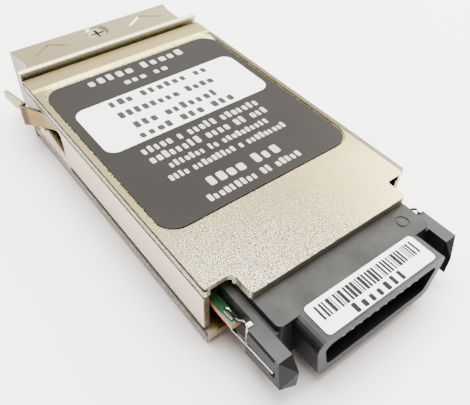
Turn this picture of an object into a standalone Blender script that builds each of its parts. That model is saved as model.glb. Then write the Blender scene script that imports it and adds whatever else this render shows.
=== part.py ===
"""Duplex SC optical transceiver module in the pluggable 30 mm wide format.

The frame is +X to the right, +Y towards the optical ports, -Y towards the host connector and +Z up.
The origin is at the bottom centre of the whole module's box. Sizes are millimetres here, and the
helpers turn them into metres.
"""
from math import cos, hypot, pi, radians, sin

import bmesh
import bpy
from mathutils import Matrix, Vector

MM = 0.001
OBJECT_NAME = "optical_transceiver_module"

# Case, seen from the side: heights above the lowest point
TOP = 10.5
BODY_BOTTOM = 0.95
RIDGE_TOP = 11.45
RIDGE_BOTTOM = 0.0
LIP_BOTTOM = 8.86
WALL_TOP = 8.68
WALL_BOTTOM = 2.95
BASE_RIM_TOP = 2.5
BASE_FLOOR_TOP = 1.85
NOSE_TOP = 10.6
NOSE_BOTTOM = 0.85

# Case, seen from above
HALF_WIDTH = 15.24
WALL = 0.75
BODY_REAR = -21.1
BASE_REAR = -21.45
COVER_FRONT = 23.9
TONGUE_HALF_WIDTH = 11.68
TONGUE_END = -24.36
RIDGE_REAR = 24.4
RIDGE_FRONT = 25.4
NOSE_FRONT = 32.35
NOSE_HALF_WIDTH = 13.8
NOSE_SCOOP = 0.5
BULKHEAD_REAR = 21.6
WALL_FOOT_REAR = 11.8

# Cover
COVER_SKIN = 0.65
COVER_TONGUE = 1.2
FOLD_LOW = 10.04
FOLD_HIGH = 10.26
FOLD_DEPTH = 0.2
RECESS_HALF_WIDTH = 14.6
RECESS_REAR = -13.15
RECESS_FRONT = 21.0
RECESS_SLOPE_START = 19.75
RECESS_DEPTH = 0.3

# Optical ports
PORT_PITCH = 12.7
PORT_Z = 5.65
PORT_WIDTH = 9.1
PORT_HEIGHT = 7.5
RECEPTACLE_HALF_WIDTH = 12.2
RECEPTACLE_HALF_HEIGHT = 4.1
RECEPTACLE_REAR = 19.5
RECEPTACLE_FRONT = 31.2
POCKET_GAP = 0.1
SCREW_Y = 30.4
SCREW_HEAD_DROP = 0.35
SCREW_HEAD_RADIUS = 1.5
SINK_MOUTH_RADIUS = 1.9
SCREW_SHANK_RADIUS = 0.75
POST_REAR = 28.4
POST_HALF_WIDTH = 1.2

# Circuit board
BOARD_HALF_WIDTH = 13.9
BOARD_BOTTOM = 5.5
BOARD_TOP = 6.3
BOARD_FRONT = 10.4
BOARD_REAR = -19.3
BOARD_EAR_REAR = -24.05
BOARD_EAR_INNER = 12.7

# Host connector
PLATE_TOP = 9.25
PLATE_HALF_WIDTH = 11.55
PLATE_END = -28.52
BLOCK_REAR = -19.6
BLOCK_BOTTOM = 2.4
SHROUD_FRONT = -32.35
SHROUD_BOTTOM = 2.2
CAVITY_TOP = 7.95
CAVITY_BOTTOM = 3.65
CAVITY_REAR = -26.6
ARM_INNER = 11.85
ARM_OUTER = 13.6
ARM_TOP = 8.2
ARM_BOTTOM = 3.8
ARM_ROOT_BOTTOM = 3.4
ARM_STEP = -26.1
ARM_ROOT_OUTER = 12.6
EDGE_GROOVE_LOW = 7.35
EDGE_GROOVE_HIGH = 8.07
STRIP_GROOVE = [(-25.4, 4.7), (-25.4, 5.5), (-30.7, 5.85), (-30.7, 4.7), (-30.1, 4.7), (-30.1, 5.1)]
STRIP_SHAPE = [(-23.6, 4.55), (-23.6, 4.82), (-25.9, 5.27), (-30.4, 5.68), (-30.4, 5.4), (-25.9, 4.95)]
CONTACT_PITCH = 1.27
CONTACTS_PER_ROW = 10
CONTACT_WIDTH = 0.42
CONTACT_THICKNESS = 0.2
CONTACT_MID_Z = 5.8
CONTACT_ROOT = 1.65
UPPER_BOW = [(-32.05, 1.35), (-31.6, 1.15), (-31.0, 1.25)]
LOWER_BOW = [(-30.2, 1.6), (-29.6, 1.25), (-28.8, 1.25)]

# Squeeze latches: u is the distance out from the module's middle plane
PIVOT_U = 13.5
PIVOT_Y = 12.1
PIN_RADIUS = 0.45
EYE_BORE = 0.52
EYE_RADIUS = 0.85
LATCH_SHEET = 0.35
EYE_LOW = 5.2
EYE_HIGH = 8.1
LATCH_PATH = [(13.95, 12.35), (14.1, 13.0), (14.45, 17.0), (15.0, 19.3), (16.4, 21.8), (16.9, 22.3),
              (16.9, 22.65), (16.25, 22.95), (16.5, 24.3), (17.28, 27.7)]
LATCH_OUTLINE = [(11.0, 5.5, 0), (16.4, 6.0, 1.0), (19.6, 4.95, 1.0), (21.5, 4.6, 1.0), (23.1, 4.55, 0.3),
                 (23.15, 5.75, 0.25), (25.6, 5.85, 1.5), (27.75, 6.5, 0.8), (27.75, 7.95, 0.75),
                 (23.5, 7.75, 2.0), (18.0, 7.75, 2.0), (11.0, 7.9, 0)]
LATCH_SLOT = [(12.6, 4.1), (18.5, 5.1), (19.2, 4.3), (RIDGE_REAR + 1.5, 4.3), (RIDGE_REAR + 1.5, 8.4),
              (13.8, 8.4), (12.9, 7.6), (12.65, 6.4)]


def start_scene():
    for obj in list(bpy.data.objects):
        bpy.data.objects.remove(obj, do_unlink=True)
    parts = bpy.data.collections.new(OBJECT_NAME)
    helpers = bpy.data.collections.new("cutters")
    helpers.hide_render = True
    bpy.context.scene.collection.children.link(parts)
    bpy.context.scene.collection.children.link(helpers)
    return parts, helpers


PARTS, HELPERS = start_scene()


def material(name, color, roughness, metallic=0.0):
    made = bpy.data.materials.new(name)
    made.use_nodes = True
    shader = made.node_tree.nodes["Principled BSDF"]
    shader.inputs["Base Color"].default_value = (*color, 1.0)
    shader.inputs["Roughness"].default_value = roughness
    shader.inputs["Metallic"].default_value = metallic
    return made


NICKEL = material("nickel_plate", (0.62, 0.58, 0.52), 0.32, 1.0)
SPRING_STEEL = material("spring_steel", (0.70, 0.60, 0.50), 0.35, 1.0)
STEEL = material("steel", (0.60, 0.60, 0.60), 0.30, 1.0)
BLACK_PLASTIC = material("black_plastic", (0.06, 0.065, 0.065), 0.45)
PORT_PLASTIC = material("port_plastic", (0.03, 0.035, 0.04), 0.5)
CLIP_PLASTIC = material("clip_plastic", (0.75, 0.72, 0.62), 0.5)
CERAMIC = material("zirconia", (0.85, 0.84, 0.80), 0.25)
BRASS = material("gold_plate", (0.80, 0.62, 0.30), 0.3, 1.0)
BOARD_GREEN = material("solder_mask", (0.02, 0.16, 0.05), 0.4)
CHIP_BLACK = material("chip_epoxy", (0.03, 0.03, 0.03), 0.6)
TANTALUM = material("capacitor_case", (0.65, 0.42, 0.08), 0.5)
FERRITE = material("ferrite", (0.10, 0.10, 0.11), 0.55)
TRIM_BLUE = material("trimmer_case", (0.05, 0.14, 0.42), 0.45)
LABEL_GREY = material("label_print", (0.13, 0.12, 0.11), 0.5)
LABEL_WHITE = material("label_paper", (0.88, 0.88, 0.86), 0.55)


def place(name, mesh, mat=None, origin=None):
    """A new object: a part if it has a material, or else a cutter or a piece to be joined."""
    obj = bpy.data.objects.new(name, mesh)
    if mat:
        PARTS.objects.link(obj)
        mesh.materials.append(mat)
    else:
        HELPERS.objects.link(obj)
        obj.hide_render = True
        obj.display_type = "WIRE"
    if origin:
        shift = Vector(origin) * MM
        mesh.transform(Matrix.Translation(-shift))
        obj.location = shift
    return obj


def mesh_from(bm, name):
    bmesh.ops.recalc_face_normals(bm, faces=bm.faces)
    mesh = bpy.data.meshes.new(name)
    bm.to_mesh(mesh)
    bm.free()
    return mesh


def box(name, x, y, z, mat=None):
    """A box from its low and high limits on each axis."""
    middle = [(low + high) / 2 for low, high in (x, y, z)]
    sides = [high - low for low, high in (x, y, z)]
    bm = bmesh.new()
    bmesh.ops.create_cube(bm, size=MM)
    bmesh.ops.scale(bm, vec=sides, verts=bm.verts)
    obj = place(name, mesh_from(bm, name), mat)
    obj.location = Vector(middle) * MM
    return obj


AXIS_FRAMES = {
    "Z": Matrix.Identity(4),
    "Y": Matrix(((1, 0, 0, 0), (0, 0, -1, 0), (0, 1, 0, 0), (0, 0, 0, 1))),
    "X": Matrix(((0, 0, 1, 0), (1, 0, 0, 0), (0, 1, 0, 0), (0, 0, 0, 1))),
}


def cylinder(name, centre, radius, length, axis="Z", mat=None, segments=32, end_radius=None):
    """A cylinder or, with end_radius, a cone that ends at that radius towards +axis."""
    other = radius if end_radius is None else end_radius
    first, last = (other, radius) if axis == "Y" else (radius, other)
    bm = bmesh.new()
    bmesh.ops.create_cone(bm, cap_ends=True, segments=segments, radius1=first * MM,
                          radius2=last * MM, depth=length * MM)
    bmesh.ops.transform(bm, matrix=AXIS_FRAMES[axis], verts=bm.verts)
    obj = place(name, mesh_from(bm, name), mat)
    obj.location = Vector(centre) * MM
    return obj


def prism(name, outlines, low, high, axis="Z", mat=None, origin=None):
    """A flat outline, or several where the inner ones are holes, given thickness from low to high."""
    curve = bpy.data.curves.new(name, "CURVE")
    curve.dimensions = "2D"
    curve.fill_mode = "BOTH"
    curve.extrude = (high - low) / 2
    for points in outlines:
        spline = curve.splines.new("POLY")
        spline.points.add(len(points) - 1)
        spline.use_cyclic_u = True
        for point, (u, v) in zip(spline.points, points):
            point.co = (u, v, 0.0, 1.0)
    guide = bpy.data.objects.new(name + "_outline", curve)
    HELPERS.objects.link(guide)
    bpy.context.view_layer.update()
    graph = bpy.context.evaluated_depsgraph_get()
    mesh = bpy.data.meshes.new_from_object(guide.evaluated_get(graph))
    bpy.data.objects.remove(guide, do_unlink=True)
    bpy.data.curves.remove(curve)
    mesh.materials.clear()
    middle = (low + high) / 2
    along = Vector(((middle, 0, 0), (0, middle, 0), (0, 0, middle))["XYZ".index(axis)])
    bm = bmesh.new()
    bm.from_mesh(mesh)
    bpy.data.meshes.remove(mesh)
    bmesh.ops.remove_doubles(bm, verts=bm.verts, dist=0.0005)
    if len(outlines) == 1:
        for end in (-1, 1):
            cap = [face for face in bm.faces if all(vert.co.z * end > 0 for vert in face.verts)]
            bmesh.ops.dissolve_faces(bm, faces=cap)
    bmesh.ops.transform(bm, matrix=Matrix.Translation(along) @ AXIS_FRAMES[axis], verts=bm.verts)
    bmesh.ops.scale(bm, vec=(MM, MM, MM), verts=bm.verts)
    return place(name, mesh_from(bm, name), mat, origin)


def rounded(corners, steps=6):
    """The outline through (u, v, radius) corners, each turned into an arc."""
    points = []
    for i, (u, v, radius) in enumerate(corners):
        here = Vector((u, v))
        before = (Vector(corners[i - 1][:2]) - here).normalized()
        after = (Vector(corners[(i + 1) % len(corners)][:2]) - here).normalized()
        if radius == 0:
            points.append((u, v))
            continue
        half = before.angle(after) / 2
        reach = radius / sin(half)
        centre = here + (before + after).normalized() * reach
        start = here + before * reach * cos(half) - centre
        end = here + after * reach * cos(half) - centre
        turn = start.angle_signed(end)
        for step in range(steps + 1):
            angle = -turn * step / steps
            arm = Matrix.Rotation(angle, 2) @ start
            points.append(tuple(centre + arm))
    return points


def rounded_box(u, v, radius, steps=6):
    return rounded([(u[0], v[0], radius), (u[1], v[0], radius),
                    (u[1], v[1], radius), (u[0], v[1], radius)], steps)


def strip(path, thickness):
    """The outline of a sheet that follows a path, with mitred bends."""
    points = [Vector(point) for point in path]
    sides = ([], [])
    for i, point in enumerate(points):
        ahead = (points[min(i + 1, len(points) - 1)] - point).normalized() if i + 1 < len(points) else None
        behind = (point - points[i - 1]).normalized() if i else None
        run_in, run_out = behind or ahead, ahead or behind
        normal = Vector((-run_in.y - run_out.y, run_in.x + run_out.x)).normalized()
        reach = thickness / 2 / max(0.5, normal.dot(Vector((-run_out.y, run_out.x))))
        sides[0].append(tuple(point + normal * reach))
        sides[1].append(tuple(point - normal * reach))
    return sides[0] + sides[1][::-1]


def mirrored(outline):
    return [(-u, v) for u, v in outline[::-1]]


def combine(target, operation, others):
    for other in others:
        step = target.modifiers.new(other.name, "BOOLEAN")
        step.operation = operation
        step.object = other


def cut(target, *cutters):
    combine(target, "DIFFERENCE", cutters)


def join(target, *others):
    combine(target, "UNION", others)


def hull(name, points, mat=None):
    """The convex solid around a few corner points."""
    bm = bmesh.new()
    for point in points:
        bm.verts.new(Vector(point) * MM)
    bmesh.ops.convex_hull(bm, input=bm.verts)
    return place(name, mesh_from(bm, name), mat)


def turned(name, profile, centre, mat):
    """A closed (radius, y) profile turned about the Y direction through centre."""
    bm = bmesh.new()
    verts = [bm.verts.new((radius * MM, y * MM, 0)) for radius, y in profile]
    for first, second in zip(verts, verts[1:] + verts[:1]):
        bm.edges.new((first, second))
    mesh = bpy.data.meshes.new(name)
    bm.to_mesh(mesh)
    bm.free()
    obj = place(name, mesh, mat)
    obj.location = Vector(centre) * MM
    screw = obj.modifiers.new("turn", "SCREW")
    screw.axis = "Y"
    screw.steps = screw.render_steps = 28
    screw.use_merge_vertices = True
    screw.merge_threshold = 0.00001
    return obj


def wire(name, path, radius, mat):
    curve = bpy.data.curves.new(name, "CURVE")
    curve.dimensions = "3D"
    curve.bevel_depth = radius * MM
    curve.bevel_resolution = 2
    curve.use_fill_caps = True
    spline = curve.splines.new("POLY")
    spline.points.add(len(path) - 1)
    for point, place_mm in zip(spline.points, path):
        point.co = (*(Vector(place_mm) * MM), 1.0)
    curve.materials.append(mat)
    obj = bpy.data.objects.new(name, curve)
    PARTS.objects.link(obj)
    return obj


def shade(obj):
    for polygon in obj.data.polygons:
        polygon.use_smooth = True
    obj.data.set_sharp_from_angle(angle=radians(35))


# Case ---------------------------------------------------------------------------------------------

def top_cover():
    tongue, wide = TONGUE_HALF_WIDTH, HALF_WIDTH
    outline = rounded([
        (-wide, COVER_FRONT, 0), (-wide, BODY_REAR, 0.3), (-tongue, BODY_REAR, 0.9),
        (-tongue, TONGUE_END, 0.5), (tongue, TONGUE_END, 0.5), (tongue, BODY_REAR, 0.9),
        (wide, BODY_REAR, 0.3), (wide, COVER_FRONT, 0)])
    cover = prism("top_cover", [outline], LIP_BOTTOM, TOP, "Z", NICKEL)
    inner = HALF_WIDTH - WALL
    skin = TOP - COVER_SKIN
    under = LIP_BOTTOM - 1.0
    across = (-inner, inner)
    cut(cover,
        box("cover_hollow", across, (BODY_REAR - 0.3, COVER_FRONT + 1), (under, TOP - COVER_TONGUE)),
        box("cover_tongue_relief", across, (TONGUE_END - 1, BODY_REAR), (under, TOP - COVER_TONGUE)),
        box("cover_inside", across, (BODY_REAR + 0.5, COVER_FRONT + 1), (under, skin)))
    for side in (-1, 1):
        low, high = sorted((side * (tongue + 0.05), side * inner))
        cut(cover, box(f"cover_notch_{side}", (low, high), (BODY_REAR - 0.3, BODY_REAR + 1), (under, skin)))
    for side in (-1, 1):
        skin_edge = sorted((side * (HALF_WIDTH - FOLD_DEPTH), side * (HALF_WIDTH + 1)))
        cut(cover, box(f"fold_line_{side}", skin_edge, (BODY_REAR - 1, COVER_FRONT + 1),
                       (FOLD_LOW, FOLD_HIGH)))
    recess = (-RECESS_HALF_WIDTH, RECESS_HALF_WIDTH)
    floor = rounded_box(recess, (RECESS_REAR, RECESS_SLOPE_START), 2.9)
    mouth = rounded_box(recess, (RECESS_REAR, RECESS_FRONT), 2.9)
    levels = [(floor, TOP - RECESS_DEPTH), (mouth, TOP), (mouth, TOP + 1)]
    cut(cover, hull("label_recess", [(x, y, z) for outline, z in levels for x, y in outline]))
    return cover


def bottom_cover():
    cover = box("bottom_cover", (-HALF_WIDTH, HALF_WIDTH), (BASE_REAR, COVER_FRONT),
                (BODY_BOTTOM, BASE_RIM_TOP), NICKEL)
    inner = HALF_WIDTH - 1.4
    cut(cover,
        box("pan_inside", (-inner, inner), (BASE_REAR - 1, COVER_FRONT - 1.2),
            (BASE_FLOOR_TOP, BASE_RIM_TOP + 1)),
        box("receptacle_relief", (-RECEPTACLE_HALF_WIDTH - 0.3, RECEPTACLE_HALF_WIDTH + 0.3),
            (RECEPTACLE_REAR - 0.3, COVER_FRONT + 1), (BODY_BOTTOM + 0.5, BASE_RIM_TOP + 1)))
    return cover


def nose_outline():
    """Seen from above: the sides sweep in a little between the flange and the front face."""
    side = []
    for step in range(9):
        along = step / 8
        y = RIDGE_REAR + along * (NOSE_FRONT - RIDGE_REAR)
        side.append((NOSE_HALF_WIDTH - NOSE_SCOOP * sin(pi * along), y))
    return side + mirrored(side)


def arrow_mark(name, x):
    """A chevron that points out of the ports."""
    y, half, tall, line = 29.0, 3.2, 2.2, 0.42
    lean = hypot(half, tall)
    foot = half - line * lean / tall
    outline = [(x - half, y), (x, y + tall), (x + half, y), (x + foot, y),
               (x, y + tall - line * lean / half), (x - foot, y)]
    return prism(name, [outline], NOSE_TOP - 0.18, NOSE_TOP + 1)


def chassis():
    body = prism("chassis", [nose_outline()], NOSE_BOTTOM, NOSE_TOP, "Z", NICKEL)
    wide = (-HALF_WIDTH, HALF_WIDTH)
    rear, front, turn = RIDGE_REAR, RIDGE_FRONT, 0.3
    high_root, low_root = RIDGE_TOP - 2.35, RIDGE_BOTTOM + 2.35
    upper = rounded([(rear, high_root, 0), (front, high_root, 0),
                     (front, RIDGE_TOP, turn), (rear, RIDGE_TOP, turn)], 3)
    lower = rounded([(rear, RIDGE_BOTTOM, turn), (front, RIDGE_BOTTOM, turn),
                     (front, low_root, 0), (rear, low_root, 0)], 3)
    join(body,
         prism("ridge_top", [upper], *wide, "X"),
         prism("ridge_bottom", [lower], *wide, "X"),
         box("bulkhead", wide, (BULKHEAD_REAR, RIDGE_REAR + 0.5), (WALL_BOTTOM, WALL_TOP)))
    for side in (-1, 1):
        def across(inner, outer):
            return tuple(sorted((side * inner, side * outer)))
        join(body,
             box(f"wall_{side}", across(HALF_WIDTH - WALL, HALF_WIDTH),
                 (BODY_REAR + 0.2, BULKHEAD_REAR + 0.5), (WALL_BOTTOM, WALL_TOP)),
             box(f"wall_foot_{side}", across(HALF_WIDTH - WALL, HALF_WIDTH),
                 (WALL_FOOT_REAR, BULKHEAD_REAR + 0.5), (BASE_RIM_TOP + 0.06, WALL_BOTTOM + 0.3)),
             box(f"board_rail_{side}", across(13.1, HALF_WIDTH - 0.5), (-19.0, 9.5),
                 (BOARD_BOTTOM - 1.1, BOARD_BOTTOM - 0.1)),
             box(f"upper_lug_{side}", across(12.55, HALF_WIDTH - 0.5), (11.2, 12.85),
                 (8.2, WALL_TOP - 0.02)),
             box(f"lower_lug_{side}", across(12.55, HALF_WIDTH - 0.5), (11.2, 12.55), (4.25, 5.1)))
    pocket = RECEPTACLE_HALF_WIDTH + POCKET_GAP
    tall = RECEPTACLE_HALF_HEIGHT + POCKET_GAP
    front = RECEPTACLE_FRONT + POCKET_GAP
    cut(body, box("receptacle_pocket", (-pocket, pocket), (BULKHEAD_REAR - 1, front),
                  (PORT_Z - tall, PORT_Z + tall)))
    join(body, box("screw_post", (-POST_HALF_WIDTH, POST_HALF_WIDTH), (POST_REAR, front + 0.3),
                   (PORT_Z - tall - 0.3, PORT_Z + tall + 0.3)))
    for side in (-1, 1):
        middle = side * PORT_PITCH / 2
        half = PORT_WIDTH / 2 + 0.2
        high = PORT_HEIGHT / 2 + 0.2
        cut(body,
            box(f"port_window_{side}", (middle - half, middle + half), (front - 0.5, NOSE_FRONT + 1),
                (PORT_Z - high, PORT_Z + high)),
            box(f"key_notch_{side}", (middle - 1.1, middle + 1.1), (front - 0.5, NOSE_FRONT + 1),
                (PORT_Z, PORT_Z + tall)))
        low, top = sorted((side * 13.6, side * (HALF_WIDTH + 1)))
        cut(body,
            prism(f"latch_slot_{side}", [LATCH_SLOT], low, top, "X"),
            cylinder(f"pin_bore_{side}", (side * PIVOT_U, PIVOT_Y, 6.5), PIN_RADIUS + 0.05, 4.7,
                     segments=20),
            arrow_mark(f"arrow_{side}", side * 8.2))
    sink = SCREW_HEAD_RADIUS + 0.08
    hole = SCREW_SHANK_RADIUS + 0.05
    seat = NOSE_TOP - SCREW_HEAD_DROP
    cut(body,
        cylinder("countersink", (0, SCREW_Y, seat - 0.55), hole, 1.1, end_radius=sink),
        cylinder("countersink_mouth", (0, SCREW_Y, NOSE_TOP - 0.16), sink, 0.4,
                 end_radius=SINK_MOUTH_RADIUS),
        cylinder("screw_hole", (0, SCREW_Y, NOSE_TOP - 3.2), hole, 5.4, segments=20))
    return body


def bezel_screw():
    top = NOSE_TOP - SCREW_HEAD_DROP
    screw = cylinder("bezel_screw", (0, SCREW_Y, top - 0.5), SCREW_SHANK_RADIUS, 1.0, "Z", STEEL,
                     end_radius=SCREW_HEAD_RADIUS)
    join(screw, cylinder("screw_shank", (0, SCREW_Y, top - 2.8), SCREW_SHANK_RADIUS - 0.02, 4.4,
                         segments=20))
    for turn in (0, 1):
        half = (1.15, 0.2) if turn else (0.2, 1.15)
        cut(screw, box(f"driver_slot_{turn}", (-half[0], half[0]), (SCREW_Y - half[1], SCREW_Y + half[1]),
                       (top - 0.6, top + 0.5)))
    return screw


# Optical ports ------------------------------------------------------------------------------------

def sc_receptacle():
    wide = (-RECEPTACLE_HALF_WIDTH, RECEPTACLE_HALF_WIDTH)
    high = (PORT_Z - RECEPTACLE_HALF_HEIGHT, PORT_Z + RECEPTACLE_HALF_HEIGHT)
    body = box("sc_receptacle", wide, (RECEPTACLE_REAR, RECEPTACLE_FRONT), high, PORT_PLASTIC)
    gap = POST_HALF_WIDTH + POCKET_GAP
    cut(body, box("post_notch", (-gap, gap), (POST_REAR - 0.2, RECEPTACLE_FRONT + 1),
                  (high[0] - 1, high[1] + 1)))
    for side in (-1, 1):
        middle = side * PORT_PITCH / 2
        cut(body,
            box(f"port_{side}", (middle - PORT_WIDTH / 2, middle + PORT_WIDTH / 2),
                (RECEPTACLE_REAR + 1.5, RECEPTACLE_FRONT + 1),
                (PORT_Z - PORT_HEIGHT / 2, PORT_Z + PORT_HEIGHT / 2)),
            cylinder(f"barrel_hole_{side}", (middle, RECEPTACLE_REAR, PORT_Z), 2.25, 4.0, "Y"),
            box(f"key_way_{side}", (middle - 1.1, middle + 1.1), (COVER_FRONT + 1.7, RECEPTACLE_FRONT + 1),
                (PORT_Z + PORT_HEIGHT / 2 - 0.5, high[1] + 1)))
    return body


def sc_clip(side):
    name = "sc_clip_" + ("left" if side < 0 else "right")
    x = side * PORT_PITCH / 2
    rear = RECEPTACLE_REAR + 1.6
    clip = box(name, (x - 4.4, x + 4.4), (rear, rear + 0.9), (PORT_Z - 3.6, PORT_Z + 3.6), CLIP_PLASTIC)
    for hand in (-1, 1):
        arm = [(x + hand * 3.9, rear + 0.5), (x + hand * 3.1, rear + 0.5), (x + hand * 3.1, rear + 5.3),
               (x + hand * 2.55, rear + 5.3), (x + hand * 3.2, rear + 6.6), (x + hand * 3.9, rear + 6.6)]
        join(clip, prism(f"{name}_arm_{hand}", [arm], PORT_Z - 1.3, PORT_Z + 1.3))
    cut(clip, cylinder(name + "_hole", (x, rear, PORT_Z), 2.25, 4.0, "Y"))
    return clip


def ferrule_sleeve(side):
    name = "ferrule_sleeve_" + ("left" if side < 0 else "right")
    x = side * PORT_PITCH / 2
    sleeve = cylinder(name, (x, 22.45, PORT_Z), 1.6, 5.6, "Y", CERAMIC, segments=28)
    cut(sleeve,
        cylinder(name + "_bore", (x, 22.45, PORT_Z), 1.25, 7.0, "Y", segments=28),
        box(name + "_split", (x - 0.12, x + 0.12), (19.0, 26.0), (PORT_Z + 0.9, PORT_Z + 2)))
    return sleeve


def optics(name, side, can):
    """A turned housing with its sleeve bore in front and a sealed can with four leads behind."""
    x = side * PORT_PITCH / 2
    profile = [(0, 19.4), (1.65, 19.4), (1.65, 25.6), (2.1, 25.6), (2.1, 19.3), (3.3, 19.3), (3.3, 18.2),
               (2.9, 18.2), (2.9, 14.4), (can, 14.4), (can, 12.9), (0, 12.9)]
    body = turned(name, profile[::-1], (x, 0, PORT_Z), BRASS)
    for across in (-1, 1):
        for up in (-1, 1):
            join(body, cylinder(f"{name}_lead_{across}_{up}", (x + across * 0.9, 10.9, PORT_Z + up * 0.95),
                                0.2, 4.4, "Y", segments=8))
    return body


def optics_clamp():
    clamp = box("optics_clamp", (-12.0, 12.0), (16.6, 17.5), (1.95, 9.75), STEEL)
    for side in (-1, 1):
        cut(clamp, cylinder(f"clamp_hole_{side}", (side * PORT_PITCH / 2, 17.0, PORT_Z), 3.0, 4.0, "Y"))
    return clamp


# Circuit board ------------------------------------------------------------------------------------

def circuit_board():
    wide, inner = BOARD_HALF_WIDTH, BOARD_EAR_INNER
    outline = [(wide, BOARD_FRONT), (-wide, BOARD_FRONT), (-wide, BOARD_EAR_REAR), (-inner, BOARD_EAR_REAR),
               (-inner, BOARD_REAR), (inner, BOARD_REAR), (inner, BOARD_EAR_REAR), (wide, BOARD_EAR_REAR)]
    return prism("circuit_board", [outline], BOARD_BOTTOM, BOARD_TOP, "Z", BOARD_GREEN)


def chip(name, x, y, size, leads_per_side):
    """A moulded package with gull leads along its two long sides."""
    length, width, height = size
    low = BOARD_TOP + 0.05
    body = box(name, (x - length / 2, x + length / 2), (y - width / 2, y + width / 2),
               (low + 0.1, low + height), CHIP_BLACK)
    pitch = length / leads_per_side
    for i in range(leads_per_side):
        lead_x = x - length / 2 + pitch * (i + 0.5)
        for hand in (-1, 1):
            edge = y + hand * width / 2
            lead = [(edge - hand * 0.15, low + 0.55), (edge + hand * 0.35, low + 0.55),
                    (edge + hand * 0.35, low + 0.18), (edge + hand * 0.75, low + 0.18),
                    (edge + hand * 0.75, low), (edge + hand * 0.17, low),
                    (edge + hand * 0.17, low + 0.37), (edge - hand * 0.15, low + 0.37)]
            join(body, prism(f"{name}_lead_{i}_{hand}", [lead], lead_x - 0.16, lead_x + 0.16, "X"))
    return body


def block_component(name, x, y, size, mat):
    """A small two-terminal part with a terminal step at each end."""
    length, width, height = size
    low = BOARD_TOP + 0.05
    body = box(name, (x - length / 2, x + length / 2), (y - width / 2, y + width / 2),
               (low, low + height), mat)
    for hand in (-1, 1):
        edge = sorted((x + hand * (length / 2 - 0.25), x + hand * (length / 2 + 0.2)))
        join(body, box(f"{name}_end_{hand}", edge, (y - width / 2 + 0.3, y + width / 2 - 0.3),
                       (low, low + height * 0.6)))
    return body


def trimmer(name, x, y):
    low = BOARD_TOP + 0.05
    body = box(name, (x - 1.7, x + 1.7), (y - 1.7, y + 1.7), (low, low + 1.3), TRIM_BLUE)
    join(body, cylinder(name + "_rotor", (x, y, low + 1.3), 1.2, 0.6, segments=24))
    cut(body, box(name + "_slot", (x - 0.95, x + 0.95), (y - 0.17, y + 0.17), (low + 1.25, low + 2.5)))
    return body


def board_components():
    chip("laser_driver_chip", -6.4, 3.4, (5.2, 3.9, 1.5), 8)
    chip("post_amplifier_chip", 6.4, 3.4, (5.2, 3.9, 1.5), 8)
    chip("memory_chip", -6.8, -8.5, (4.9, 3.9, 1.5), 4)
    trimmer("trimmer_bias", -10.9, -3.2)
    trimmer("trimmer_modulation", -6.2, -3.2)
    block_component("tantalum_capacitor_left", 4.4, -4.6, (3.2, 2.6, 1.8), TANTALUM)
    block_component("tantalum_capacitor_right", 10.2, -4.6, (3.2, 2.6, 1.8), TANTALUM)
    block_component("choke_left", 3.9, -11.2, (2.6, 2.4, 2.0), FERRITE)
    block_component("choke_right", 9.4, -11.2, (2.6, 2.4, 2.0), FERRITE)


# Host connector -----------------------------------------------------------------------------------

def shroud_outline(wide_top, wide_bottom, low, high, top_radius, bottom_radius):
    return rounded([(wide_top, high, top_radius), (-wide_top, high, top_radius),
                    (-wide_bottom, low, bottom_radius), (wide_bottom, low, bottom_radius)])


def guide_arm(side):
    """A square arm whose tip is cut by one sloping top facet and one sloping outer facet."""
    inner, outer = side * ARM_INNER, side * ARM_OUTER
    rear = ARM_STEP
    corners = [(x, rear, z) for x in (inner, outer) for z in (ARM_ROOT_BOTTOM, ARM_TOP)]
    tip = [(outer, -30.92, ARM_TOP), (inner, -30.92, ARM_TOP), (inner, -32.2, 6.4),
           (inner, -32.2, ARM_BOTTOM), (outer, -31.6, ARM_BOTTOM)]
    return hull(f"guide_arm_{side}", corners + tip)


def contact_slots():
    """One comb of small boxes, two rows of them, that cuts the contact passages through the block."""
    bm = bmesh.new()
    half = CONTACT_WIDTH / 2 + 0.08
    for row in (-1, 1):
        z = CONTACT_MID_Z + row * CONTACT_ROOT
        for i in range(CONTACTS_PER_ROW):
            x = (i - (CONTACTS_PER_ROW - 1) / 2) * CONTACT_PITCH
            made = bmesh.ops.create_cube(bm, size=1)["verts"]
            length = BLOCK_REAR - CAVITY_REAR + 2
            bmesh.ops.scale(bm, vec=(2 * half * MM, length * MM, 0.4 * MM), verts=made)
            shift = Vector((x, (BLOCK_REAR + CAVITY_REAR) / 2, z)) * MM
            bmesh.ops.translate(bm, vec=shift, verts=made)
    return place("contact_slots", mesh_from(bm, "contact_slots"))


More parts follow.
